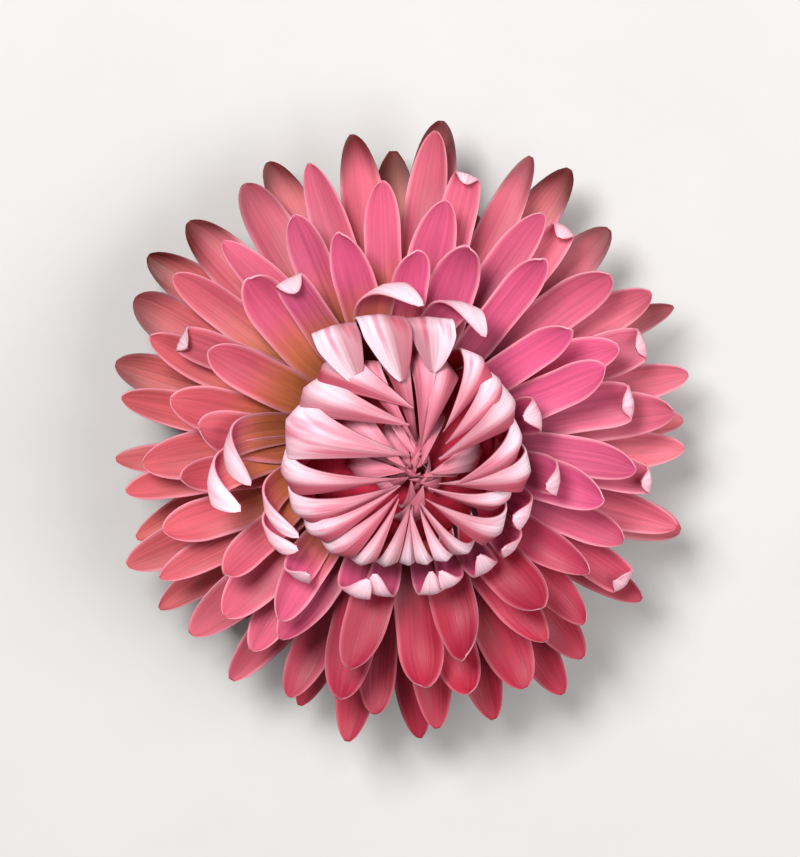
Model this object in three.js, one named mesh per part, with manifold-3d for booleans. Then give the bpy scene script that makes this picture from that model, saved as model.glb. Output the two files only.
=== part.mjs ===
// A dried strawflower head, picked off its stalk and lying face up, in millimetres.
// +Z runs up the head's axis, and the origin is on the surface, under the middle of the head.
// The head is a short stack: a bowl of small papery scales, a collar of long spreading ray bracts,
// and a crown of bracts that arch over the centre. Every bract is a strap bent along one curve.

import * as THREE from "three";
import Module from "manifold-3d";

const wasm = await Module();
wasm.setup();

// Driving dimensions
const HEAD_RADIUS = 19.5; // from the axis to the tips of the longest ray bracts
const HEAD_STRETCH = 0.03; // the outline's share longer in Y and shorter in X
const CROWN_RADIUS = 7.3; // the closed crown in the middle, at its shoulder
const CROWN_TOP = 18.6; // height of the crown's highest bends
const CROWN_APEX = new THREE.Vector2(1.0, -0.9); // where the crown's tips meet, off the axis
const RING_RISE = 44; // degrees above level at the root of a bract of the crown's ring
const RING_FALL = 202; // and at its tip, where it has bent over
const RING_HOLD = 4.0; // how far such a bract holds its rise
const RING_INSET = 0.45; // from the outside of its shoulder in to its middle line
const RING_SAG = 1.6; // how far its middle is bent aside, towards -Y
const REST_RADIUS = 3.4; // the flat spot under the head
const BLADE = 0.6; // thickness of a bract
const GAP = 0.3; // between one body and the next
const GOLDEN_TURN = 137.508; // degrees from one bract to the next, up the spiral
const SCALES = 21;
const RAYS = 89;
const HEART = 9; // small bracts inside the crown's ring

// The inner bracts that stand round the crown. Each has its turn in degrees, the distance of its tip
// from the axis, its width, how many degrees its tip hooks over, and how far the tip is swept aside
const INNER = [
  [15, 10.3, 2.6, 70, 0.4],
  [352, 11.4, 2.5, 60, -0.5],
  [336, 10.0, 2.6, 60, -0.6],
  [322, 10.6, 2.4, 60, -0.5],
  [304, 10.6, 2.2, 85, 0.6],
  [293, 10.1, 1.8, 80, -0.5],
  [281, 10.4, 2.0, 100, 0.5],
  [264, 10.3, 2.2, 90, -0.8],
  [250, 11.0, 2.4, 95, 0.8],
  [228, 11.4, 2.4, 60, 0.6],
  [206, 11.2, 2.4, 90, 2.4],
  [193, 10.3, 2.4, 95, 3.4],
  [169, 12.8, 2.7, 115, 3.4],
  [181, 14.4, 2.9, 110, 3.0],
  [105, 12.4, 2.8, 95, -3.8],
  [77, 11.6, 2.6, 95, -3.4],
];

// The ring of the crown, clockwise from the large folded bracts at its +Y side, with the bracts of a
// lower row last. Each has the place of its shoulder, where it bends over, the place of its tip, its
// width, the roll that lifts one edge over its neighbour, the share of its length at which it starts to
// narrow, and how much lower than the others it lies
const RING = [
  [[-4.2, 8.9], [-2.9, 5.0], 2.9, -10, 0.8, 0],
  [[-1.6, 9.5], [0.3, 5.2], 3.1, -12, 0.8, 0],
  [[1.4, 9.3], [1.9, 5.6], 3.0, 10, 0.8, 0],
  [[5.0, 6.6], [2.5, 1.9], 2.4, -16, 0.5, 0],
  [[6.2, 5.2], [2.8, 1.2], 2.5, -16, 0.5, 0],
  [[7.0, 3.7], [2.4, 0.2], 2.9, -20, 0.5, 0],
  [[7.3, 1.7], [3.4, -1.2], 2.6, -20, 0.5, 0],
  [[8.0, -0.4], [2.4, -1.6], 2.3, -18, 0.5, 0],
  [[6.5, -2.2], [1.6, -1.6], 2.0, -16, 0.4, 0],
  [[6.5, -4.2], [1.6, -2.2], 2.4, -14, 0.45, 0],
  [[4.6, -5.9], [1.4, -2.6], 1.4, -8, 0.4, 0],
  [[3.1, -6.5], [1.1, -2.8], 1.2, 0, 0.4, 0],
  [[1.8, -6.9], [0.9, -2.9], 1.1, 0, 0.4, 0],
  [[0.5, -7.0], [0.7, -2.9], 1.2, 4, 0.4, 0],
  [[-1.2, -7.0], [0.4, -2.7], 1.4, 8, 0.4, 0],
  [[-2.8, -6.7], [0.2, -2.4], 1.5, 10, 0.4, 0],
  [[-4.6, -5.6], [0.1, -2.2], 2.3, 16, 0.45, 0],
  [[-5.8, -4.3], [0.0, -1.9], 2.0, 16, 0.4, 0],
  [[-6.5, -2.9], [0.1, -1.6], 2.4, 18, 0.45, 0],
  [[-6.9, -0.8], [0.1, -1.1], 2.4, 20, 0.45, 0],
  [[-6.8, 1.8], [0.8, 0.5], 3.9, 5, 0.5, 0],
  [[-6.1, 3.7], [0.4, 2.0], 3.3, 11, 0.5, 0],
  [[-5.2, 5.5], [1.0, 3.6], 3.4, 14, 0.5, 0],
  [[2.9, 6.2], [1.4, 0.6], 2.3, -10, 0.4, 0.9],
  [[1.1, 6.9], [1.1, 0.4], 2.3, 6, 0.4, 1.1],
  [[-0.9, 6.9], [0.9, 0.5], 2.3, 10, 0.4, 1.3],
  [[-2.9, 6.2], [0.7, 1.0], 2.3, 10, 0.4, 1.3],
];

// Heights of the stack and the radii that it steps through
const BOWL_TOP = 5.0;
const COLLAR_BOTTOM = BOWL_TOP + GAP;
const COLLAR_TOP = 11.2;
const CORE_BOTTOM = COLLAR_TOP + GAP;
const COLLAR_RADIUS = 6.3;
const STALK_RADIUS = 1.5;
const STALK_DEPTH = 1.2;

const RAD = Math.PI / 180;
const SPINE_STEPS = 48;
const mix = (a, b, u) => a + (b - a) * u;
const heading = (degrees) => new THREE.Vector2(Math.cos(degrees * RAD), Math.sin(degrees * RAD));
const { smoothstep } = THREE.MathUtils;

// A seeded row of random numbers from -1 to 1, the same on every run.
function randomRow(seed) {
  let state = seed;
  return () => {
    state = (state * 16807) % 2147483647;
    return (2 * state) / 2147483647 - 1;
  };
}

// The bract's middle line, in the plane through the axis: x is the distance from the axis, y the height.
// It leaves the root at `rise` degrees above level and aims at the tip at `fall` degrees, and `bow` says
// how far each end holds its direction, as a share of the straight distance. Then its last part is bent
// by `hook` degrees more, between the shares `hookFrom` and `hookTo` of its length. The result gives the
// place and direction at s, from 0 at the root to 1 at the tip.
function spine(b) {
  const root = new THREE.Vector2(...b.root);
  const tip = new THREE.Vector2(...b.tip);
  const reach = root.distanceTo(tip);
  const straight = new THREE.CubicBezierCurve(
    root,
    root.clone().addScaledVector(heading(b.rise), b.bow[0] * reach),
    tip.clone().addScaledVector(heading(b.fall), -b.bow[1] * reach),
    tip,
  ).getPoints(SPINE_STEPS);
  const line = [root];
  for (let k = 0; k < SPINE_STEPS; k++) {
    const bend = b.hook * RAD * smoothstep((k + 0.5) / SPINE_STEPS, b.hookFrom, b.hookTo);
    const step = straight[k + 1].clone().sub(straight[k]).rotateAround(new THREE.Vector2(), bend);
    line.push(line[k].clone().add(step));
  }
  return (s) => {
    const k = Math.round(s * SPINE_STEPS);
    const ahead = line[Math.min(k + 1, SPINE_STEPS)];
    const behind = line[Math.max(k - 1, 0)];
    return { place: line[k], direction: ahead.clone().sub(behind).normalize() };
  };
}

// Half the width at s: a narrow claw, a long blade, and an end that is round or drawn to a point.
function halfWidth(b, s) {
  const blade = mix(b.claw, 1, Math.sin((Math.PI / 2) * Math.min(1, s / b.full)));
  const end = Math.max(0, (s - b.round) / (1 - b.round));
  return (b.width / 2) * blade * Math.max(b.blunt, 1 - end ** b.point) ** b.sharp;
}

// A closed strap, `across` by `along` quads on each face, split alike on both faces. With `crowd` above 1
// its rows draw closer together towards the tip.
function strap(b, along, across) {
  const middle = spine(b);
  const turn = b.turn * RAD;
  const points = [];
  for (const side of [0.5, -0.5]) {
    for (let i = 0; i <= along; i++) {
      const s = 1 - (1 - i / along) ** b.crowd;
      const { place, direction } = middle(s);
      const tilt = (b.roll + b.twist * s) * RAD;
      const half = halfWidth(b, s);
      for (let j = 0; j <= across; j++) {
        const t = (2 * j) / across - 1;
        const lift = b.cup * half * (t * t - 0.3) + side * BLADE;
        const wide = t * half;
        const drift = b.sway * s * s + 4 * b.bend * s * (1 - s);
        const aside = wide * Math.cos(tilt) - lift * Math.sin(tilt) + drift;
        const off = wide * Math.sin(tilt) + lift * Math.cos(tilt);
        const r = place.x - direction.y * off;
        points.push(
          r * Math.cos(turn) - aside * Math.sin(turn),
          r * Math.sin(turn) + aside * Math.cos(turn),
          place.y + direction.x * off,
        );
      }
    }
  }
  const row = across + 1;
  const far = (along + 1) * row;
  const faces = [];
  const quad = (a, c, e, f) => faces.push(a, c, e, a, e, f);
  for (let i = 0; i < along; i++) {
    for (let j = 0; j < across; j++) {
      const a = i * row + j;
      faces.push(a, a + row, a + row + 1, a, a + row + 1, a + 1);
      faces.push(far + a, far + a + row + 1, far + a + row, far + a, far + a + 1, far + a + row + 1);
    }
    const left = i * row;
    const right = left + across;
    quad(left, far + left, far + left + row, left + row);
    quad(right, right + row, far + right + row, far + right);
  }
  for (let j = 0; j < across; j++) {
    const last = along * row + j;
    quad(j, j + 1, far + j + 1, far + j);
    quad(last, far + last, far + last + 1, last + 1);
  }
  return solidFrom(points, faces);
}

function solidFrom(points, faces) {
  const mesh = new wasm.Mesh({
    numProp: 3,
    vertProperties: new Float32Array(points),
    triVerts: new Uint32Array(faces),
  });
  return new wasm.Manifold(mesh);
}

// A turned body from a profile of [radius, height] points that starts and ends on the axis.
function turned(profile, sides) {
  const lathe = new THREE.LatheGeometry(
    profile.map(([r, z]) => new THREE.Vector2(r, z)),
    sides,
  );
  lathe.rotateX(Math.PI / 2);
  const position = lathe.getAttribute("position");
  const seen = new Map();
  const points = [];
  const ids = [];
  for (let i = 0; i < position.count; i++) {
    const p = [position.getX(i), position.getY(i), position.getZ(i)];
    const key = p.map((x) => Math.round(x * 1e4)).join();
    if (!seen.has(key)) {
      seen.set(key, seen.size);
      points.push(...p);
    }
    ids.push(seen.get(key));
  }
  const faces = [];
  const index = lathe.getIndex().array;
  for (let i = 0; i < index.length; i += 3) {
    const [a, c, e] = [ids[index[i]], ids[index[i + 1]], ids[index[i + 2]]];
    if (a !== c && c !== e && e !== a) faces.push(a, c, e);
  }
  return solidFrom(points, faces);
}

// One body from a core and its straps, with any pocket closed in between them filled.
function joined(core, straps) {
  const union = wasm.Manifold.union([core, ...straps]);
  return wasm.Manifold.compose(union.decompose().filter((shell) => shell.volume() > 0));
}

function meshFrom(name, solid, colour, roughness) {
  const { vertProperties, triVerts } = solid.getMesh();
  const geometry = new THREE.BufferGeometry()
    .setAttribute("position", new THREE.BufferAttribute(vertProperties, 3))
    .setIndex(new THREE.BufferAttribute(triVerts, 1));
  geometry.computeVertexNormals();
  const material = new THREE.MeshStandardMaterial({ color: colour, roughness, metalness: 0 });
  const mesh = new THREE.Mesh(geometry, material);
  mesh.name = name;
  return mesh;
}

// Small tan scales that shingle the underside and lie nearly level.
function scaleBracts() {
  const random = randomRow(4111);
  return Array.from({ length: SCALES }, (_, i) => {
    const u = i / (SCALES - 1);
    return {
      turn: i * GOLDEN_TURN + 3 * random(),
      root: [mix(3.0, 5.2, u), mix(1.1, 4.2, u)],
      rise: 14,
      tip: [mix(9.2, 18.0, u ** 0.9) + 0.6 * random(), mix(0.9, 2.9, u)],
      fall: mix(-4, -16, u),
      bow: [0.33, 0.33],
      hook: 0,
      hookFrom: 0.6,
      hookTo: 1,
      width: 3.6 + 0.3 * random(),
      claw: 0.55,
      full: 0.6,
      round: 0.45,
      blunt: 0.12,
      point: 1.7,
      sharp: 0.5,
      cup: 0.2,
      roll: 0,
      sway: 0.4 * random(),
      bend: 0,
      twist: 0,
      crowd: 1.5,
    };
  });
}

// Long ray bracts: the first lie level or droop, and each turn of the spiral stands steeper and shorter.
function rayBracts() {
  const random = randomRow(2129);
  return Array.from({ length: RAYS }, (_, i) => {
    const u = i / (RAYS - 1);
    const turn = (SCALES + i) * GOLDEN_TURN + 3.5 * random();
    const stretch = 1 - HEAD_STRETCH * Math.cos(2 * turn * RAD);
    const reach = mix(HEAD_RADIUS, 13.0, Math.max(0, (u - 0.25) / 0.75) ** 1.3);
    return {
      turn,
      root: [COLLAR_RADIUS - 0.9, mix(6.0, 10.4, u)],
      rise: mix(10, 46, u),
      tip: [stretch * reach + 0.6 * random(), mix(3.6, 14.6, u ** 1.1) + 0.3 * random()],
      fall: mix(-14, 34, u) + 5 * random(),
      bow: [0.34, 0.34],
      hook: 12 + 12 * random(),
      hookFrom: 0.6,
      hookTo: 1,
      width: 2.8 + 0.5 * random(),
      claw: 0.5,
      full: 0.4,
      round: 0.74,
      blunt: 0.16,
      point: 2.2,
      sharp: 0.5,
      cup: 0.3,
      roll: 0,
      sway: 1.1 * random(),
      bend: 0,
      twist: 9 * random(),
      crowd: 1.5,
    };
  });
}

// Steep inner bracts that stand round the crown, each with its own hooked tip.
function innerBracts() {
  const random = randomRow(733);
  return INNER.map(([turn, reach, width, hook, sway]) => ({
    turn,
    root: [COLLAR_RADIUS - 0.9, COLLAR_TOP - 0.5],
    rise: 36,
    tip: [reach, 16.4 + 0.5 * random()],
    fall: 74 + 6 * random(),
    bow: [0.45, 0.35],
    hook,
    hookFrom: 0.45,
    hookTo: 1,
    width,
    claw: 0.5,
    full: 0.6,
    round: 0.5,
    blunt: 0.12,
    point: 1.4,
    sharp: 0.5,
    cup: 0.3,
    roll: 0,
    sway,
    bend: 0,
    twist: 8 * random(),
    crowd: 1.5,
  }));
}

// A place over the crown, as its distance from the axis along a turn and its distance aside from that.
function overTheCrown(turn, place) {
  const along = heading(turn);
  return [along.dot(place), along.cross(place)];
}

// The crown's ring: its bracts bulge out from the core, bend over and dip to meet off the middle. The
// turn allows for the bend aside, which brings the shoulder back to its place. Halfway up the middle line,
// each of its two inner control points counts for three eighths, and the hold at the tip follows from that.
function ringBracts(random) {
  return RING.map(([shoulder, end, width, roll, narrows, depth]) => {
    const level = Math.atan2(shoulder[1], shoulder[0]);
    const sideways = new THREE.Vector2(-Math.sin(level), Math.cos(level));
    const over = new THREE.Vector2(...shoulder).addScaledVector(sideways, RING_SAG * Math.cos(level));
    const turn = over.angle() / RAD;
    const [reach, aside] = overTheCrown(turn, new THREE.Vector2(...end));
    const root = [CROWN_RADIUS - 1.6 - depth, CORE_BOTTOM + 0.9];
    const tip = [reach + 0.2 * random(), CROWN_TOP - 1.3 - depth + 0.3 * random()];
    const straight = Math.hypot(tip[0] - root[0], tip[1] - root[1]);
    const pushed = over.length() - RING_INSET - (root[0] + reach) / 2;
    const rootPush = (3 / 8) * RING_HOLD * heading(RING_RISE).x;
    const tipHold = (rootPush - pushed) / ((3 / 8) * heading(RING_FALL).x);
    return {
      turn,
      root,
      rise: RING_RISE,
      tip,
      fall: RING_FALL + 4 * random(),
      bow: [RING_HOLD / straight, tipHold / straight],
      hook: 0,
      hookFrom: 0.5,
      hookTo: 1,
      width,
      claw: 0.75,
      full: 0.3,
      round: narrows,
      blunt: 0.25,
      point: 1.3,
      sharp: 0.9,
      cup: 1.2 * (0.9 - narrows),
      roll,
      sway: aside + 0.3 * random(),
      bend: -RING_SAG * heading(turn).x,
      twist: 12 * random(),
      crowd: 1,
    };
  });
}

// The heart of the crown: small steep bracts that close its middle under the ring's tips.
function heartBracts(random) {
  return Array.from({ length: HEART }, (_, i) => {
    const u = i / (HEART - 1);
    const turn = i * GOLDEN_TURN + 4 * random();
    const [reach, aside] = overTheCrown(turn, CROWN_APEX);
    return {
      turn,
      root: [mix(4.6, 1.4, u), CORE_BOTTOM + 1.8],
      rise: mix(56, 84, u),
      tip: [reach + mix(0.9, 0.3, u), CROWN_TOP - 1.5 + 0.3 * random()],
      fall: mix(190, 130, u) + 6 * random(),
      bow: [0.5, 0.5],
      hook: 0,
      hookFrom: 0.5,
      hookTo: 1,
      width: mix(2.4, 1.2, u) + 0.2 * random(),
      claw: 0.8,
      full: 0.3,
      round: 0.35,
      blunt: 0.35,
      point: 1.2,
      sharp: 0.8,
      cup: 0.5,
      roll: 0,
      sway: aside + 0.4 * random(),
      bend: 0,
      twist: 10 * random(),
      crowd: 1,
    };
  });
}

// Bowl: flat underneath, with a shallow pocket that the end of the cut stalk fills
const bowl = turned(
  [
    [0, STALK_DEPTH],
    [STALK_RADIUS + GAP, STALK_DEPTH],
    [STALK_RADIUS + GAP, 0],
    [REST_RADIUS, 0],
    [5.0, 1.4],
    [6.1, 3.4],
    [COLLAR_RADIUS, BOWL_TOP],
    [0, BOWL_TOP],
  ],
  24,
);
const baseScales = joined(
  bowl,
  scaleBracts().map((b) => strap(b, 3, 2)),
);

// End of the cut stalk, flush with the flat spot
const stalk = turned(
  [
    [0, 0],
    [STALK_RADIUS, 0],
    [STALK_RADIUS, STALK_DEPTH],
    [0, STALK_DEPTH],
  ],
  16,
);

// Collar, which carries the ray bracts
const collar = turned(
  [
    [0, COLLAR_BOTTOM],
    [COLLAR_RADIUS, COLLAR_BOTTOM],
    [COLLAR_RADIUS, COLLAR_TOP - 0.5],
    [COLLAR_RADIUS - 0.5, COLLAR_TOP],
    [0, COLLAR_TOP],
  ],
  18,
);
const rays = joined(
  collar,
  [...rayBracts(), ...innerBracts()].map((b) => strap(b, 4, 2)),
);

// Core of the crown, smaller than the bracts that stand out of it
const core = turned(
  [
    [0, CORE_BOTTOM],
    [CROWN_RADIUS - 2.0, CORE_BOTTOM],
    [CROWN_RADIUS - 1.3, 13.4],
    [CROWN_RADIUS - 3.0, 14.6],
    [2.4, 15.2],
    [0, 15.3],
  ],
  18,
);
const crownRow = randomRow(5501);
const ring = ringBracts(crownRow).map((b) => strap(b, 6, 2));
const heart = heartBracts(crownRow).map((b) => strap(b, 4, 1));
const crown = joined(core, [...ring, ...heart]);

const head = new THREE.Group();
head.add(
  meshFrom("cut_stalk", stalk, 0x8c8154, 0.8),
  meshFrom("base_scales", baseScales, 0xc9a071, 0.6),
  meshFrom("ray_bracts", rays, 0xd0637f, 0.5),
  meshFrom("crown_bracts", crown, 0xe7b3bf, 0.45),
);

export default head;
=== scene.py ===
import bpy
import numpy as np
from mathutils import Matrix, Vector


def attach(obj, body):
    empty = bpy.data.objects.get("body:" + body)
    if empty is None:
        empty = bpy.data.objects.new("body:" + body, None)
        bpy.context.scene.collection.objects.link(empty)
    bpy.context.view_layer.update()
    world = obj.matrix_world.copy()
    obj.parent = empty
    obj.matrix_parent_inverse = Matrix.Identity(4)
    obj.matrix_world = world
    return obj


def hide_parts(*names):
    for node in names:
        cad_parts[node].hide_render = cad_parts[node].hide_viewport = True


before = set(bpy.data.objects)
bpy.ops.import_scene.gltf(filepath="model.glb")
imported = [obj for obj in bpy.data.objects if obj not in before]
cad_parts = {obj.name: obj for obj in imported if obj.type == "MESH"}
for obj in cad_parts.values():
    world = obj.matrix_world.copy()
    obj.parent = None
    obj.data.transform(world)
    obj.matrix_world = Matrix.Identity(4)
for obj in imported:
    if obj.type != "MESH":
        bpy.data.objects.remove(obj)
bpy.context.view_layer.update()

MM = 0.001
GOLDEN_TURN = 137.508  # from one bract to the next, up the spiral
PAPER = 0.16  # thickness of a dry bract

# The head's driving sizes
HEAD_RADIUS = 19.5
HEAD_STRETCH = 0.03
CROWN_RADIUS = 7.3
CROWN_TOP = 18.6
CROWN_APEX = [1.0, -0.9]
RING_RISE = 44  # above level at the root of a bract of the crown's ring
RING_FALL = 202  # the same at its tip
RING_HOLD = 4.0  # how far such a bract holds its rise
RING_INSET = 0.45  # from the outside of its shoulder in to its middle line
RING_SAG = 1.6  # how far its middle is bent aside, towards -Y
REST_RADIUS = 3.4
STALK_RADIUS = 1.5
STALK_DEPTH = 1.2
BOWL_TOP = 5.0
COLLAR_BOTTOM = 5.3
COLLAR_TOP = 11.2
CORE_BOTTOM = 11.5
COLLAR_RADIUS = 6.3
SCALES = 21
RAYS = 89
HEART = 9
HEART_STRIPS = 16

# Turns in the middle of the sides that the photograph shows in a colour or a light of their own
DRY_SIDE = 102  # the outermost rays have dark dry tips
WARM_SIDE = 160  # the claws are orange, and show more of it, painted on as orange-brown shade between the rays
CORAL_SIDE = 183
PAINTED_SHADE_SIDE = 287  # painted shade on the side of the head that lies in shade
# a little darker and deeper magenta on this side too, towards the same colour
FAINT_DARKENING_SIDE = 75


def mix(a, b, u):
    return a + (b - a) * u


def smooth(low, high, x):
    """0 below low, 1 above high, and an even bend between them."""
    u = np.clip((x - low) / (high - low), 0, 1)
    return u * u * (3 - 2 * u)


def facing(turn, side):
    """1 where a turn is at the middle of a side, 0 a quarter turn away, and -1 opposite."""
    return np.cos(np.radians(turn - side))


def warmth(turn):
    return smooth(-0.7, 0.9, facing(turn, WARM_SIDE))


def random_row(seed):
    """Seeded random numbers from -1 to 1, the same on every run."""
    state = seed
    while True:
        state = state * 16807 % 2147483647
        yield 2 * state / 2147483647 - 1


# Bracts
# A bract is a strap bent along one curve in the plane through the axis. It leaves its root at `rise`
# above level and reaches its tip at `fall`, then its last part is turned by `hook` more, between the
# shares `hook_from` and `hook_to` of its length. `sway` sweeps its tip aside, and `bend` its middle.
# `roll` and `twist` lean it over: at its root, and by how much more at its tip.
# Its facts are read by its material. `layer` goes from 0 for an outer bract to 1 for an inner one, and
# `luck` from -1 to 1, a little darker or lighter, and lower on the crown's folded bracts as a painted
# darkening against the light they face. The others go from 0 to 1: the dark tip, dry on the rays and
# scales and painted shade towards the crown's middle; the orange claw, whose colour reaches farther on
# the warm side as painted orange-brown shade; the coral face; and painted shade on the head's shaded side.

STEPS = 96  # along the curve of a bract's middle
FULL_TUCK = 14  # the roll at which one edge lies wholly under the neighbour, and the painted shade on that edge is full

# What a bract has unless its kind says otherwise
PLAIN = dict(hook_to=1.0, roll=0, bend=0, twist=0, warm_claw_and_painted_shade=0.5, coral=0.0, painted_shade=0.0)


def spine(b):
    """Places along the middle line, each a distance from the axis and a height, and its directions."""
    root, tip = np.array(b["root"], float), np.array(b["tip"], float)
    reach = np.linalg.norm(tip - root)
    rise, fall = np.radians(b["rise"]), np.radians(b["fall"])
    first = root + b["bow"][0] * reach * np.array([np.cos(rise), np.sin(rise)])
    last = tip - b["bow"][1] * reach * np.array([np.cos(fall), np.sin(fall)])
    v = np.linspace(0, 1, STEPS + 1)[:, None]
    line = (
        root * (1 - v) ** 3
        + 3 * first * v * (1 - v) ** 2
        + 3 * last * v**2 * (1 - v)
        + tip * v**3
    )
    step = np.diff(line, axis=0)
    length = np.linalg.norm(step, axis=1)
    middle = (np.arange(STEPS) + 0.5) / STEPS
    angle = np.unwrap(np.arctan2(step[:, 1], step[:, 0]))
    angle += np.radians(b["hook"]) * smooth(b["hook_from"], b["hook_to"], middle)
    step = length[:, None] * np.stack([np.cos(angle), np.sin(angle)], 1)
    line = np.vstack([root, root + np.cumsum(step, axis=0)])
    ends = np.interp(np.linspace(0, 1, STEPS + 1), middle, angle)
    return line, ends


def half_width(b, s):
    """Half the width at s: a narrow claw, a long blade, and an end that is round or drawn to a point."""
    blade = mix(b["claw"], 1, np.sin(np.pi / 2 * np.minimum(1, s / b["full"])))
    end = np.clip((s - b["round"]) / (1 - b["round"]), 0, 1)
    return b["width"] / 2 * blade * np.maximum(b["blunt"], 1 - end ** b["point"]) ** b["sharp"]


def bract(b, along, across):
    """Vertices, faces and per-vertex facts of one bract, as a thin closed sheet."""
    line, angles = spine(b)
    i = np.arange(along + 1) / along
    s = 1 - (1 - i) ** 1.5  # the rows lie closer together towards the tip
    at = np.linspace(0, 1, STEPS + 1)
    px, pz = np.interp(s, at, line[:, 0]), np.interp(s, at, line[:, 1])
    theta = np.interp(s, at, angles)
    t = np.sin(np.pi / 2 * np.linspace(-1, 1, across + 1))  # and closer together towards the edges
    S, T = np.meshgrid(s, t, indexing="ij")
    half = half_width(b, s)[:, None]
    lean = np.radians(b["roll"] + b["twist"] * S)
    turn = np.radians(b["turn"])
    fold = mix(T**2, np.abs(T), b["keel"]) - 0.3  # a round trough, or a keeled one
    ripple = b["ripple"] * T**2 * np.sin(b["phase"] + 2 * np.pi * S * b["waves"] + 1.3 * np.sign(T))
    sag = b["cup"] * half * fold * (1 - 0.4 * S) + ripple * smooth(0.2, 0.5, S)
    sway, bend = b["sway"], b["bend"]
    sheets = []
    for side in (0.5, -0.5):
        lift = sag + side * PAPER
        wide = T * half
        aside = wide * np.cos(lean) - lift * np.sin(lean) + sway * S**2 + 4 * bend * S * (1 - S)
        off = wide * np.sin(lean) + lift * np.cos(lean)
        r = px[:, None] - np.sin(theta)[:, None] * off
        z = pz[:, None] + np.cos(theta)[:, None] * off
        x = r * np.cos(turn) - aside * np.sin(turn)
        y = r * np.sin(turn) + aside * np.cos(turn)
        sheets.append(np.stack([x, y, z], -1).reshape(-1, 3))
    row = across + 1
    far = (along + 1) * row
    grid = np.arange(far).reshape(along + 1, row)
    a, c, e, f = grid[:-1, :-1], grid[1:, :-1], grid[1:, 1:], grid[:-1, 1:]
    top = np.stack([a, c, e, f], -1).reshape(-1, 4)
    edge = np.concatenate([grid[:-1, 0], grid[-1, :-1], grid[:0:-1, -1], grid[0, :0:-1]])
    ahead = np.roll(edge, -1)
    rim = np.stack([edge, edge + far, ahead + far, ahead], -1)
    faces = np.vstack([top, top[:, ::-1] + far, rim])
    # painted shade on the edge that lies under a neighbour
    tucked_shade = min(1, abs(b["roll"]) / FULL_TUCK) * smooth(-0.5, 0.4, T * np.sign(b["roll"]))
    facts = {
        "along": np.tile(S.ravel(), 2),
        "across": np.tile(T.ravel(), 2),
        "tucked_shade": np.tile(tucked_shade.ravel(), 2),
        "inside": np.repeat([1.0, 0.0], far),
    }
    for key in ("layer", "luck", "dry_tip_and_painted_shade", "warm_claw_and_painted_shade", "coral", "painted_shade"):
        facts[key] = np.full(2 * far, b[key])
    return np.vstack(sheets), faces, facts


def piece_from_bracts(name, bracts, along, across):
    """One mesh object from many bracts, with their facts as attributes for the material."""
    points, faces, facts, start = [], [], [], 0
    for b in bracts:
        p, f, k = bract(b, along, across)
        points.append(p)
        faces.append(f + start)
        facts.append(k)
        start += len(p)
    return mesh_object(
        name,
        np.vstack(points),
        np.vstack(faces).tolist(),
        {key: np.concatenate([k[key] for k in facts]) for key in facts[0]},
    )


def mesh_object(name, points, faces, facts=None):
    mesh = bpy.data.meshes.new(name)
    mesh.from_pydata((np.array(points) * MM).tolist(), [], faces)
    mesh.polygons.foreach_set("use_smooth", np.ones(len(mesh.polygons), bool))
    for key, values in (facts or {}).items():
        mesh.attributes.new(key, "FLOAT", "POINT").data.foreach_set("value", values)
    piece = bpy.data.objects.new(name, mesh)
    bpy.context.scene.collection.objects.link(piece)
    return piece


def turned(name, profile, sides=96):
    """A body of revolution from a profile that starts and ends on the axis."""
    profile = np.array(profile, float)
    ring = np.arange(sides) * 2 * np.pi / sides
    inner = profile[1:-1]
    points = [[0, 0, profile[0, 1]], [0, 0, profile[-1, 1]]]
    for r, z in inner:
        points += np.stack([r * np.cos(ring), r * np.sin(ring), np.full(sides, z)], 1).tolist()
    faces = []
    last = 2 + (len(inner) - 1) * sides
    for k in range(sides):
        n = (k + 1) % sides
        faces.append([0, 2 + n, 2 + k])
        faces.append([1, last + k, last + n])
        for j in range(len(inner) - 1):
            a = 2 + j * sides
            faces.append([a + k, a + n, a + sides + n, a + sides + k])
    return mesh_object(name, points, faces)


def scale_bracts():
    """The small tan scales that shingle the bowl."""
    draw, extra = random_row(4111), random_row(911)
    bracts = []
    for i in range(SCALES):
        u = i / (SCALES - 1)
        bracts.append(
            dict(
                PLAIN,
                turn=i * GOLDEN_TURN + 3 * next(draw),
                root=[mix(3.0, 5.2, u), mix(1.1, 4.2, u)],
                rise=14,
                tip=[mix(9.2, 18.0, u**0.9) + 0.6 * next(draw), mix(0.9, 2.9, u)],
                fall=mix(-4, -16, u),
                bow=[0.33, 0.33],
                width=3.6 + 0.3 * next(draw),
                claw=0.55,
                round=0.45,
                full=0.6,
                blunt=0.02,
                point=1.7,
                sharp=0.5,
                cup=0.2,
                keel=0.3,
                hook=10 * next(extra),
                hook_from=0.6,
                sway=0.4 * next(draw),
                ripple=0.12,
                waves=1.2,
                phase=3 * next(extra),
                layer=u,
                luck=next(extra),
                dry_tip_and_painted_shade=0.95,
            )
        )
    return bracts


# Rays whose tip is folded back on itself: the turn where it lies, and how long the flap is
FOLDED_TIPS = [
    (150, 0.04), (125, 0.08), (75, 0.03), (48, 0.05), (23, 0.04), (11, 0.05), (-5, 0.04), (-28, 0.05),
]
FOLDED_HOOK = 135
STEEP_FROM = 0.4  # the layer of the first steep ray


def folded_tips(bracts):
    """The steep ray nearest to each listed turn gets a folded tip."""
    steep = [b for b in bracts if b["layer"] > STEEP_FROM]
    for place, flap in FOLDED_TIPS:
        nearest = min(steep, key=lambda b: abs((b["turn"] - place + 180) % 360 - 180))
        nearest["hook"] = FOLDED_HOOK
        nearest["hook_from"] = 0.93 - flap
        nearest["hook_to"] = 1 - flap


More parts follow.
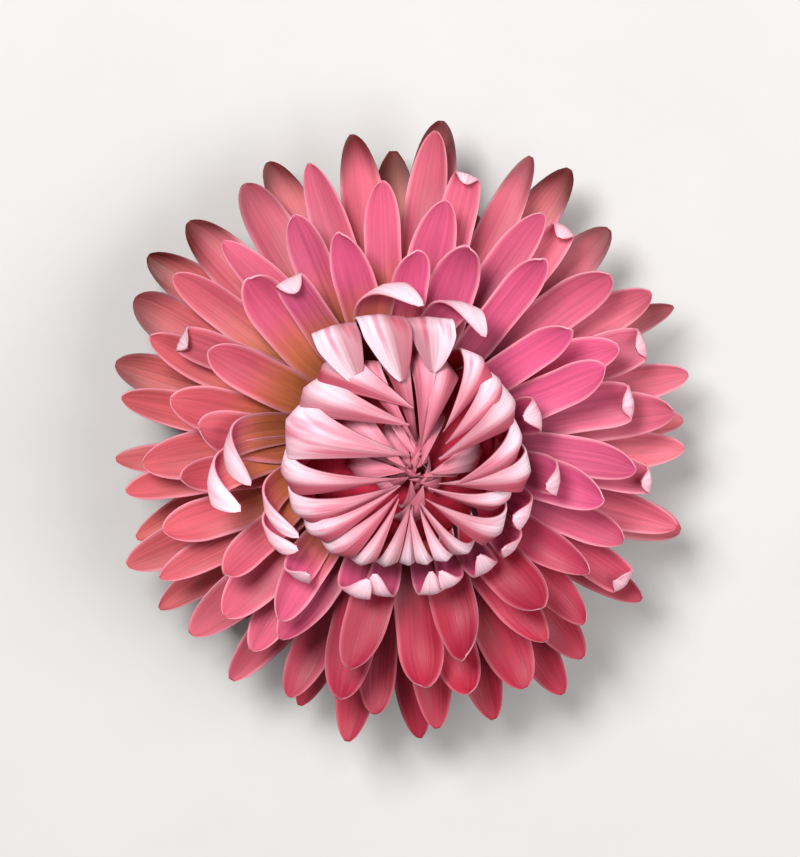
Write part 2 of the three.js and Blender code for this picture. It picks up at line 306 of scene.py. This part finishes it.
def ray_bracts():
    """Long ray bracts: the first lie level or droop, and the later ones stand steeper and are shorter."""
    draw, extra = random_row(2129), random_row(3571)
    bracts = []
    for i in range(RAYS):
        u = i / (RAYS - 1)
        turn = (SCALES + i) * GOLDEN_TURN + 3.5 * next(draw)
        stretch = 1 - HEAD_STRETCH * np.cos(2 * np.radians(turn))
        tip = [
            stretch * mix(HEAD_RADIUS, 13.0, max(0, (u - 0.25) / 0.75) ** 1.3) + 0.6 * next(draw),
            mix(3.6, 14.6, u**1.1) + 0.3 * next(draw),
        ]
        fall = mix(-14, 34, u) + 5 * next(draw)
        hook = 12 + 12 * next(draw)
        width = 2.8 + 0.5 * next(draw)
        sway = 1.1 * next(draw)
        twist = 9 * next(draw)
        dry_side = smooth(-0.1, 0.7, facing(turn, DRY_SIDE))
        faint_darkening = 0.12 * smooth(0.75, 1.0, facing(turn, FAINT_DARKENING_SIDE))
        bracts.append(
            dict(
                PLAIN,
                turn=turn,
                root=[COLLAR_RADIUS - 0.9, mix(6.0, 10.4, u)],
                rise=mix(10, 46, u),
                tip=tip,
                fall=fall,
                bow=[0.34, 0.34],
                width=width,
                claw=0.5,
                full=0.4,
                round=0.70 + 0.06 * next(extra),
                blunt=0.015,
                point=1.85 + 0.45 * next(extra),
                sharp=0.5,
                cup=0.32 + 0.16 * next(extra),
                keel=0.3,
                roll=4 * next(extra),
                hook=hook + 6 * next(extra),
                hook_from=0.6,
                sway=sway,
                twist=twist,
                ripple=0.14 + 0.07 * next(extra),
                waves=1.3 + 0.5 * next(extra),
                phase=3 * next(extra),
                layer=u,
                luck=next(extra),
                dry_tip_and_painted_shade=dry_side * (1 - smooth(0.2, 0.42, u)),
                # the claw's orange reaches farther on the warm side, as painted orange-brown shade between
                # the rays
                warm_claw_and_painted_shade=warmth(turn),
                coral=smooth(0.5, 1.0, facing(turn, CORAL_SIDE)),
                # painted shade on the head's shaded side, and a little darkening on the top side
                painted_shade=smooth(0.45, 0.98, facing(turn, PAINTED_SHADE_SIDE)) + faint_darkening,
            )
        )
    folded_tips(bracts)
    return bracts


# The inner bracts that stand round the crown. Each has its turn, the distance of its tip from the
# axis, its width, how far its tip hooks over, and how far the tip is swept aside
INNER = [
    [15, 10.3, 2.6, 70, 0.4],
    [352, 11.4, 2.5, 60, -0.5],
    [336, 10.0, 2.6, 60, -0.6],
    [322, 10.6, 2.4, 60, -0.5],
    [304, 10.6, 2.2, 85, 0.6],
    [293, 10.1, 1.8, 80, -0.5],
    [281, 10.4, 2.0, 100, 0.5],
    [264, 10.3, 2.2, 90, -0.8],
    [250, 11.0, 2.4, 95, 0.8],
    [228, 11.4, 2.4, 60, 0.6],
    [206, 11.2, 2.4, 90, 2.4],
    [193, 10.3, 2.4, 95, 3.4],
    [169, 12.8, 2.7, 115, 3.4],
    [181, 14.4, 2.9, 110, 3.0],
    [105, 12.4, 2.8, 95, -3.8],
    [77, 11.6, 2.6, 95, -3.4],
]


def inner_bracts():
    """Steep inner bracts that stand round the crown, each with its own hooked tip."""
    draw, extra = random_row(733), random_row(1913)
    bracts = []
    for turn, reach, width, hook, sway in INNER:
        bracts.append(
            dict(
                PLAIN,
                turn=turn,
                root=[COLLAR_RADIUS - 0.9, COLLAR_TOP - 0.5],
                rise=36,
                tip=[reach, 16.4 + 0.5 * next(draw)],
                fall=74 + 6 * next(draw),
                bow=[0.45, 0.35],
                hook=hook,
                hook_from=0.45,
                width=width,
                claw=0.5,
                full=0.6,
                round=0.5,
                blunt=0.02,
                point=1.4,
                sharp=0.5,
                cup=0.3,
                keel=0.4,
                sway=sway,
                twist=8 * next(draw),
                ripple=0.1,
                waves=1.2,
                phase=3 * next(extra),
                layer=1.0,
                luck=next(extra),
                dry_tip_and_painted_shade=0.0,
                warm_claw_and_painted_shade=warmth(turn),
            )
        )
    return bracts


# The ring of the crown, clockwise from the large folded bracts at the top of the photograph, with the
# bracts of a lower row last. Each has the place of its shoulder, where it bends over, the place of its
# tip, its width, the roll that lifts one edge over its neighbour, the share of its length at which it
# starts to narrow, and how much lower than the others it lies
RING = [
    [[-4.2, 8.9], [-2.9, 5.0], 2.9, -10, 0.8, 0],
    [[-1.6, 9.5], [0.3, 5.2], 3.1, -12, 0.8, 0],
    [[1.4, 9.3], [1.9, 5.6], 3.0, 10, 0.8, 0],
    [[5.0, 6.6], [2.5, 1.9], 2.4, -16, 0.5, 0],
    [[6.2, 5.2], [2.8, 1.2], 2.5, -16, 0.5, 0],
    [[7.0, 3.7], [2.4, 0.2], 2.9, -20, 0.5, 0],
    [[7.3, 1.7], [3.4, -1.2], 2.6, -20, 0.5, 0],
    [[8.0, -0.4], [2.4, -1.6], 2.3, -18, 0.5, 0],
    [[6.5, -2.2], [1.6, -1.6], 2.0, -16, 0.4, 0],
    [[6.5, -4.2], [1.6, -2.2], 2.4, -14, 0.45, 0],
    [[4.6, -5.9], [1.4, -2.6], 1.4, -8, 0.4, 0],
    [[3.1, -6.5], [1.1, -2.8], 1.2, 0, 0.4, 0],
    [[1.8, -6.9], [0.9, -2.9], 1.1, 0, 0.4, 0],
    [[0.5, -7.0], [0.7, -2.9], 1.2, 4, 0.4, 0],
    [[-1.2, -7.0], [0.4, -2.7], 1.4, 8, 0.4, 0],
    [[-2.8, -6.7], [0.2, -2.4], 1.5, 10, 0.4, 0],
    [[-4.6, -5.6], [0.1, -2.2], 2.3, 16, 0.45, 0],
    [[-5.8, -4.3], [0.0, -1.9], 2.0, 16, 0.4, 0],
    [[-6.5, -2.9], [0.1, -1.6], 2.4, 18, 0.45, 0],
    [[-6.9, -0.8], [0.1, -1.1], 2.4, 20, 0.45, 0],
    [[-6.8, 1.8], [0.8, 0.5], 3.9, 5, 0.5, 0],
    [[-6.1, 3.7], [0.4, 2.0], 3.3, 11, 0.5, 0],
    [[-5.2, 5.5], [1.0, 3.6], 3.4, 14, 0.5, 0],
    [[2.9, 6.2], [1.4, 0.6], 2.3, -10, 0.4, 0.9],
    [[1.1, 6.9], [1.1, 0.4], 2.3, 6, 0.4, 1.1],
    [[-0.9, 6.9], [0.9, 0.5], 2.3, 10, 0.4, 1.3],
    [[-2.9, 6.2], [0.7, 1.0], 2.3, 10, 0.4, 1.3],
]
FOLDED_FROM = 9.0  # a shoulder farther out than this is a large folded bract's, pale to its blunt tip
FOLDED_PAINTED_DARKENING = -1.7  # such a bract is painted darker, against the light that it faces


def over_the_crown(turn, place):
    """A place over the crown as the distance from the axis along a turn, and the distance aside from it."""
    along = np.array([np.cos(np.radians(turn)), np.sin(np.radians(turn))])
    return along @ place, along[0] * place[1] - along[1] * place[0]


def ring_bracts(draw, extra):
    """The crown's ring: its bracts bulge out from the core, bend over and dip to meet off the middle."""
    bracts = []
    for shoulder, end, width, roll, narrows, depth in RING:
        level = np.arctan2(shoulder[1], shoulder[0])
        sideways = np.array([-np.sin(level), np.cos(level)])
        over = shoulder + RING_SAG * np.cos(level) * sideways
        turn = np.degrees(np.arctan2(over[1], over[0]))
        reach, aside = over_the_crown(turn, end)
        root = [CROWN_RADIUS - 1.6 - depth, CORE_BOTTOM + 0.9]
        tip = [reach + 0.2 * next(draw), CROWN_TOP - 1.3 - depth + 0.3 * next(draw)]
        straight = np.hypot(tip[0] - root[0], tip[1] - root[1])
        folded = np.hypot(*shoulder) > FOLDED_FROM
        # The middle of the curve lies halfway from root to tip, plus 3/8 of the pull of each end.
        # The pull at the tip is the one that brings it out to the shoulder.
        pushed = np.hypot(*over) - RING_INSET - (root[0] + reach) / 2
        root_push = 3 / 8 * RING_HOLD * np.cos(np.radians(RING_RISE))
        tip_hold = (pushed - root_push) / (-3 / 8 * np.cos(np.radians(RING_FALL)))
        bracts.append(
            dict(
                PLAIN,
                turn=turn,
                root=root,
                rise=RING_RISE,
                tip=tip,
                fall=RING_FALL + 4 * next(draw),
                bow=[RING_HOLD / straight, tip_hold / straight],
                hook=6 * next(extra),
                hook_from=0.5,
                width=width,
                claw=0.75,
                full=0.3,
                round=narrows,
                blunt=0.03,
                point=1.3,
                sharp=0.55 if folded else 0.9,
                cup=1.2 * (0.9 - narrows),
                keel=0.8,
                roll=roll,
                sway=aside + 0.3 * next(draw),
                bend=-RING_SAG * np.cos(np.radians(turn)),
                twist=12 * next(draw),
                ripple=0.10,
                waves=1.1,
                phase=3 * next(extra),
                # a lower row takes the darker back of the inner layers, as painted shade beneath the row
                # above
                layer=0.3 + 0.25 * depth,
                luck=next(extra),
                # painted shade darkens the tips towards the crown's middle; the large folded bracts stay
                # pale to the tip
                dry_tip_and_painted_shade=0.1 if folded else 0.85,
            )
        )
        # the folded bracts are painted darker, against the light they face
        if folded:
            bracts[-1]["luck"] = FOLDED_PAINTED_DARKENING
    return bracts


def heart_bracts(draw, extra):
    """The crown's heart: short bracts that bend over inside the ring."""
    bracts = []
    for i in range(HEART):
        u = i / (HEART - 1)
        turn = i * GOLDEN_TURN + 4 * next(draw)
        reach, aside = over_the_crown(turn, CROWN_APEX)
        bracts.append(
            dict(
                PLAIN,
                turn=turn,
                root=[mix(4.6, 1.4, u), CORE_BOTTOM + 1.8],
                rise=mix(56, 84, u),
                tip=[reach + mix(0.9, 0.3, u), CROWN_TOP - 1.5 + 0.3 * next(draw)],
                fall=mix(190, 130, u) + 6 * next(draw),
                bow=[0.5, 0.5],
                hook=8 * next(extra),
                hook_from=0.5,
                width=mix(2.4, 1.2, u) + 0.2 * next(draw),
                claw=0.8,
                full=0.3,
                round=0.35,
                blunt=0.03,
                point=1.2,
                sharp=0.8,
                cup=0.5,
                keel=0.8,
                roll=10 * next(extra),
                sway=aside + 0.4 * next(draw),
                twist=10 * next(draw),
                ripple=0.08,
                waves=1.1,
                phase=3 * next(extra),
                layer=mix(0.5, 1.0, u),
                luck=next(extra),
                # painted shade on the tip, towards the crown's middle
                dry_tip_and_painted_shade=0.8,
            )
        )
    return bracts


def heart_strips():
    """Narrow strips that close the middle of the crown among the tips of the others."""
    extra = random_row(8117)
    bracts = []
    for i in range(HEART_STRIPS):
        u = i / (HEART_STRIPS - 1)
        turn = i * GOLDEN_TURN + 20 * next(extra)
        reach, aside = over_the_crown(turn, CROWN_APEX)
        bracts.append(
            dict(
                PLAIN,
                turn=turn,
                root=[mix(3.6, 1.0, u), CORE_BOTTOM + 2.6],
                rise=mix(62, 86, u),
                tip=[reach + 0.5 * next(extra), CROWN_TOP - 1.9 + 0.3 * next(extra)],
                fall=mix(180, 140, u) + 10 * next(extra),
                bow=[0.5, 0.5],
                hook=10 * next(extra),
                hook_from=0.5,
                width=0.9 + 0.2 * next(extra),
                claw=0.8,
                full=0.3,
                round=0.4,
                blunt=0.03,
                point=1.3,
                sharp=0.8,
                cup=0.5,
                keel=0.8,
                roll=14 * next(extra),
                sway=aside + 0.7 * next(extra),
                bend=0.5 * next(extra),
                twist=16 * next(extra),
                ripple=0.05,
                waves=1.1,
                phase=3 * next(extra),
                layer=0.75 + 0.15 * next(extra),
                luck=next(extra),
                # painted shade on the tip, towards the crown's middle
                dry_tip_and_painted_shade=0.8,
            )
        )
    return bracts


def crown_bracts():
    draw, extra = random_row(5501), random_row(6151)
    return ring_bracts(draw, extra) + heart_bracts(draw, extra) + heart_strips()


# Materials


class Graph:
    """Short calls that add shader nodes to one material."""

    def __init__(self, name):
        self.material = bpy.data.materials.new(name)
        self.material.use_nodes = True
        self.tree = self.material.node_tree
        self.tree.nodes.clear()

    def node(self, kind, **settings):
        made = self.tree.nodes.new(kind)
        for key, value in settings.items():
            setattr(made, key, value)
        return made

    def feed(self, socket, value):
        if isinstance(value, bpy.types.NodeSocket):
            self.tree.links.new(value, socket)
        elif value is not None:
            socket.default_value = value

    def fact(self, name):
        return self.node("ShaderNodeAttribute", attribute_name=name).outputs["Fac"]

    def math(self, operation, a, b=None):
        made = self.node("ShaderNodeMath", operation=operation)
        self.feed(made.inputs[0], a)
        self.feed(made.inputs[1], b)
        return made.outputs[0]

    def ease(self, value, low, high, start=0.0, end=1.0):
        """start below low, end above high, with an even bend between them."""
        made = self.node("ShaderNodeMapRange", interpolation_type="SMOOTHSTEP")
        for socket, x in zip(made.inputs, (value, low, high, start, end)):
            self.feed(socket, x)
        return made.outputs[0]

    def blend(self, amount, a, b, mode="MIX"):
        made = self.node("ShaderNodeMix", data_type="RGBA", blend_type=mode)
        self.feed(made.inputs["Factor"], amount)
        self.feed(made.inputs[6], rgba(a))
        self.feed(made.inputs[7], rgba(b))
        return made.outputs[2]

    def noise(self, vector, scale, detail, rough=0.5):
        made = self.node("ShaderNodeTexNoise")
        self.feed(made.inputs["Vector"], vector)
        self.feed(made.inputs["Scale"], scale)
        self.feed(made.inputs["Detail"], detail)
        self.feed(made.inputs["Roughness"], rough)
        return made.outputs["Fac"]

    def vector(self, x, y, z):
        made = self.node("ShaderNodeCombineXYZ")
        for socket, value in zip(made.inputs, (x, y, z)):
            self.feed(socket, value)
        return made.outputs[0]

    def bump(self, height, strength, depth):
        made = self.node("ShaderNodeBump")
        self.feed(made.inputs["Strength"], strength)
        self.feed(made.inputs["Distance"], depth * MM)
        self.feed(made.inputs["Height"], height)
        return made.outputs[0]

    def finish(self, shader):
        self.feed(self.node("ShaderNodeOutputMaterial").inputs["Surface"], shader)
        return self.material


def rgba(colour):
    if isinstance(colour, (tuple, list)) and len(colour) == 3:
        return (*colour, 1.0)
    return colour


# The most that each colour covers the one below it
CORAL_MOST = 0.6
CLAW_MOST = 0.9
TUCKED_SHADE_MOST = 0.92
RIM_MOST = 0.7
WARM_GAIN = 0.33  # how much farther along a bract its claw's colour reaches on the warm side, as painted orange-brown shade


def papery(
    name, face, back, streak, claw, claw_ends, rim, tucked_shade_colour, tip, tip_starts, thin,
    coral=None, shaded=None, painted_root_shade=1.0,
):
    """Dry bract: colour by layer, a warm claw partly painted as orange-brown shade, a pale rim, fine veins,
    painted shade on the shaded side, on tucked edges, near the root and at the crown's tips, and some light
    let through.
    """
    g = Graph(name)
    along, across, tucked_shade = g.fact("along"), g.fact("across"), g.fact("tucked_shade")
    layer, luck, inside = g.fact("layer"), g.fact("luck"), g.fact("inside")
    warm_claw_and_painted_shade, painted_shade = g.fact("warm_claw_and_painted_shade"), g.fact("painted_shade")
    edge = g.math("ABSOLUTE", across)

    # Lengthwise noises, different on each bract
    seed = g.math("MULTIPLY", luck, 37.0)
    vein_place = g.vector(g.math("MULTIPLY", across, 6.0), g.math("MULTIPLY", along, 1.2), seed)
    veins = g.noise(vein_place, 1.0, 4, 0.6)
    cloud = g.noise(g.vector(across, g.math("MULTIPLY", along, 3.0), seed), 1.1, 2)
    streak_place = g.vector(g.math("MULTIPLY", across, 1.8), g.math("MULTIPLY", along, 2.2), seed)
    streaks = g.noise(streak_place, 1.0, 2)

    # The face, darkened towards the shaded colour as painted shade on the head's shaded side, and the
    # outside with its streaks
    colour = g.blend(g.ease(layer, 0.0, 0.32), face[0], face[1])
    colour = g.blend(g.ease(layer, 0.3, 0.95), colour, face[2])
    if coral:
        colour = g.blend(g.math("MULTIPLY", g.fact("coral"), CORAL_MOST), colour, coral)
    # painted shade: the face darkened towards the shaded colour on the head's shaded side
    if shaded:
        colour = g.blend(painted_shade, colour, shaded)
    outside = g.blend(g.ease(layer, 0.35, 0.6), back[0], back[1])
    outside = g.blend(g.ease(streaks, 0.50, 0.72), outside, streak)
    colour = g.blend(g.ease(inside, 0.3, 0.7, 1.0, 0.0), colour, outside)

    # The claw, partly painted as orange-brown shade; painted shade on the edge tucked under a neighbour;
    # the rim; and the dark tip, dry on the rays and scales and painted shade towards the crown's middle
    # the claw's colour reaches farther on the warm side as painted orange-brown shade, and is weaker on the
    # other side
    reach = g.math("SUBTRACT", along, g.math("MULTIPLY", warm_claw_and_painted_shade, WARM_GAIN))
    claws = g.ease(reach, claw_ends[0], claw_ends[1], CLAW_MOST, 0.0)
    colour = g.blend(g.math("MULTIPLY", claws, g.ease(warm_claw_and_painted_shade, 0.0, 1.0, 0.2, 1.0)), colour, claw)
    # painted shade on the edge tucked under a neighbour
    colour = g.blend(g.math("MULTIPLY", tucked_shade, TUCKED_SHADE_MOST), colour, tucked_shade_colour)
    rims = g.math("MULTIPLY", g.ease(edge, 0.76, 1.0, 0.0, RIM_MOST), g.ease(tucked_shade, 0.3, 0.8, 1.0, 0.0))
    # the rims dimmed in the painted shade
    rims = g.math("MULTIPLY", rims, g.ease(painted_shade, 0.2, 0.9, 1.0, 0.35))
    colour = g.blend(rims, colour, rim)
    ending = g.math("ADD", along, g.math("MULTIPLY", g.math("MULTIPLY", edge, edge), 0.1))
    tipped = g.math("MULTIPLY", g.ease(ending, tip_starts[0], tip_starts[1]), g.fact("dry_tip_and_painted_shade"))
    colour = g.blend(g.math("MULTIPLY", tipped, g.ease(cloud, 0.3, 0.6, 0.85, 1.0)), colour, tip)

    # Light and dark along the veins and from one bract to the next, with the crown's folded bracts painted
    # darker against the light they face, and painted shade darker towards the root, where the crown shades
    # the rays
    shade = g.math("ADD", g.ease(veins, 0.3, 0.7, 0.85, 1.10), g.math("MULTIPLY", luck, 0.12))
    shade = g.math("MULTIPLY", shade, g.ease(along, 0.12, 0.6, painted_root_shade, 1.0))
    colour = g.blend(1.0, colour, g.vector(shade, shade, shade), "MULTIPLY")

    relief = g.bump(veins, 0.45, 0.1)
    body = g.node("ShaderNodeBsdfPrincipled")
    g.feed(body.inputs["Base Color"], colour)
    g.feed(body.inputs["Roughness"], g.ease(veins, 0.3, 0.7, 0.42, 0.56))
    g.feed(body.inputs["Specular IOR Level"], 0.35)
    g.feed(body.inputs["Normal"], relief)
    through = g.node("ShaderNodeBsdfTranslucent")
    g.feed(through.inputs["Color"], colour)
    g.feed(through.inputs["Normal"], relief)
    both = g.node("ShaderNodeMixShader")
    g.feed(both.inputs[0], thin)
    g.feed(both.inputs[1], body.outputs[0])
    g.feed(both.inputs[2], through.outputs[0])
    return g.finish(both.outputs[0])


def rough_skin(name, low, high, scale, roughness):
    """Dull surface in two mottled colours with a fine grain."""
    g = Graph(name)
    grain = g.noise(g.node("ShaderNodeTexCoord").outputs["Object"], scale, 5, 0.6)
    body = g.node("ShaderNodeBsdfPrincipled")
    g.feed(body.inputs["Base Color"], g.blend(g.ease(grain, 0.35, 0.65), low, high))
    g.feed(body.inputs["Roughness"], roughness)
    g.feed(body.inputs["Normal"], g.bump(grain, 0.6, 0.15))
    return g.finish(body.outputs[0])


# The face has colours for the outer, middle and inner layers, and the back for outer and inner ones.
# claw_ends and tip_starts are shares of the length between which the claw fades out and the dry tip
# fades in, and thin is the share of light that the paper lets through.
RAY_PAPER = dict(
    face=[(0.58, 0.145, 0.165), (0.60, 0.125, 0.195), (0.60, 0.095, 0.225)],
    coral=(0.60, 0.11, 0.09),
    # the colour of the painted shade on the head's shaded side
    shaded=(0.36, 0.013, 0.04),
    back=[(0.86, 0.50, 0.58), (0.92, 0.64, 0.73)],
    streak=(0.86, 0.47, 0.56),
    claw=(0.74, 0.22, 0.075),
    claw_ends=(-0.04, 0.38),
    rim=(0.88, 0.37, 0.46),
    # painted shade on edges tucked under a neighbour
    tucked_shade_colour=(0.42, 0.06, 0.11),
    tip=(0.11, 0.010, 0.009),
    tip_starts=(0.79, 1.0),
    # painted shade towards the root, where the crown shades the rays
    painted_root_shade=0.5,
    thin=0.35,
)
CROWN_PAPER = dict(
    face=[(0.64, 0.03, 0.10)] * 3,
    # the inner layers' back is deeper rose, and the ring's lower row also takes it as painted shade
    back=[(0.96, 0.76, 0.86), (0.78, 0.28, 0.38)],
    streak=(0.84, 0.32, 0.44),
    claw=(0.66, 0.16, 0.13),
    claw_ends=(-0.08, 0.14),
    rim=(0.97, 0.72, 0.82),
    # painted shade on the tucked edges, dark crimson
    tucked_shade_colour=(0.42, 0.008, 0.048),
    # the crown's dark tip is painted shade towards its middle
    tip=(0.46, 0.10, 0.15),
    tip_starts=(0.48, 0.92),
    thin=0.25,
)
SCALE_PAPER = dict(
    face=[(0.50, 0.30, 0.14), (0.52, 0.24, 0.14), (0.52, 0.16, 0.13)],
    back=[(0.52, 0.33, 0.16)] * 2,
    streak=(0.44, 0.26, 0.12),
    claw=(0.40, 0.30, 0.12),
    claw_ends=(0.16, 0.5),
    rim=(0.66, 0.45, 0.26),
    # painted shade on tucked edges; the scales are not rolled, so none shows
    tucked_shade_colour=(0.40, 0.22, 0.10),
    tip=(0.13, 0.015, 0.010),
    tip_starts=(0.72, 0.98),
    thin=0.3,
)

# Pieces


def settle(piece, node, material):
    """The piece rides with the head, stands for a node of the model and takes its finish."""
    piece.data.materials.append(material)
    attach(piece, "root")
    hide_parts(node)


settle(
    piece_from_bracts("ray_bracts_fine", ray_bracts() + inner_bracts(), 22, 10),
    "ray_bracts",
    papery("ray_paper", **RAY_PAPER),
)
settle(
    turned(
        "collar",
        [
            [0, COLLAR_BOTTOM],
            [COLLAR_RADIUS - 0.3, COLLAR_BOTTOM],
            [COLLAR_RADIUS - 0.3, COLLAR_TOP - 0.6],
            [COLLAR_RADIUS - 0.8, COLLAR_TOP - 0.1],
            [0, COLLAR_TOP - 0.1],
        ],
    ),
    "ray_bracts",
    # coloured dark maroon-brown as painted shade in the hollow round the crown
    rough_skin("collar_painted_shade", (0.30, 0.06, 0.04), (0.42, 0.12, 0.06), 900, 0.7),
)
settle(
    piece_from_bracts("crown_bracts_fine", crown_bracts(), 40, 10),
    "crown_bracts",
    papery("crown_paper", **CROWN_PAPER),
)
settle(
    turned(
        "core",
        [
            [0, CORE_BOTTOM],
            [CROWN_RADIUS - 2.0, CORE_BOTTOM],
            [CROWN_RADIUS - 1.4, 12.6],
            [CROWN_RADIUS - 1.4, 13.3],
            [CROWN_RADIUS - 3.2, 14.4],
            [2.3, 14.9],
            [0, 15.0],
        ],
    ),
    "crown_bracts",
    # deep crimson, seen only through the crown's gaps as painted shadow
    rough_skin("core_painted_shadow", (0.34, 0.003, 0.024), (0.44, 0.006, 0.040), 1200, 0.8),
)
settle(
    piece_from_bracts("base_scales_fine", scale_bracts(), 14, 8),
    "base_scales",
    papery("scale_paper", **SCALE_PAPER),
)
settle(
    turned(
        "bowl",
        [
            [0, STALK_DEPTH],
            [STALK_RADIUS + 0.3, STALK_DEPTH],
            [STALK_RADIUS + 0.3, 0],
            [REST_RADIUS, 0],
            [5.0, 1.4],
            [6.1, 3.4],
            [COLLAR_RADIUS, BOWL_TOP],
            [0, BOWL_TOP],
        ],
    ),
    "base_scales",
    rough_skin("bowl_skin", (0.30, 0.20, 0.08), (0.45, 0.32, 0.15), 700, 0.75),
)
settle(
    turned("stalk_end", [[0, 0], [STALK_RADIUS, 0], [STALK_RADIUS, STALK_DEPTH], [0, STALK_DEPTH]], 64),
    "cut_stalk",
    rough_skin("stalk_skin", (0.26, 0.20, 0.08), (0.50, 0.42, 0.22), 2400, 0.85),
)

# Floor, light and camera, placed in metres

FLOOR_REACH = 3000.0  # in millimetres, as the meshes are
HEAD_MIDDLE = (0, 0, 0.009)


def stage_floor():
    near, far = -FLOOR_REACH, FLOOR_REACH
    corners = [[near, near, 0], [far, near, 0], [far, far, 0], [near, far, 0]]
    floor = mesh_object("floor", corners, [[0, 1, 2, 3]])
    floor.data.materials.append(
        rough_skin("floor_skin", (0.405, 0.405, 0.40), (0.415, 0.415, 0.41), 60, 0.7)
    )


def area_light(name, place, size, watts, colour):
    light = bpy.data.lights.new(name, "AREA")
    light.size = size
    light.energy = watts
    light.color = colour
    lamp = bpy.data.objects.new(name, light)
    bpy.context.scene.collection.objects.link(lamp)
    place = Vector(place)
    lamp.location = place
    lamp.rotation_euler = (Vector(HEAD_MIDDLE) - place).to_track_quat("-Z", "Y").to_euler()


def add_camera():
    """The photograph looks at the head from a little past straight above, with +Y up in the picture."""
    tilt = np.radians(8.5)
    distance = 0.36
    target = Vector((0.0, 0.0008, 0.009))
    towards = Vector((0, np.sin(tilt), np.cos(tilt)))
    up = Vector((0, np.cos(tilt), -np.sin(tilt)))
    right = up.cross(towards)
    camera = bpy.data.objects.new("camera", bpy.data.cameras.new("camera"))
    camera.data.lens = 235
    camera.data.clip_start = 0.01
    turned_to = Matrix((right, up, towards)).transposed().to_4x4()
    camera.matrix_world = Matrix.Translation(target + distance * towards) @ turned_to
    bpy.context.scene.collection.objects.link(camera)
    bpy.context.scene.camera = camera


def studio_air():
    """Even light from all round, and colours shown as they are."""
    world = bpy.data.worlds.new("studio")
    world.use_nodes = True
    background = world.node_tree.nodes["Background"]
    background.inputs["Color"].default_value = (1.0, 0.98, 0.97, 1)
    background.inputs["Strength"].default_value = 0.22
    bpy.context.scene.world = world
    bpy.context.scene.view_settings.view_transform = "Standard"


stage_floor()
area_light("key", place=(-0.13, 0.20, 0.42), size=0.16, watts=3.5, colour=(1.0, 0.98, 0.96))
area_light("fill", place=(0.28, 0.0, 0.34), size=0.30, watts=1.8, colour=(1.0, 0.98, 0.98))
add_camera()
studio_air()
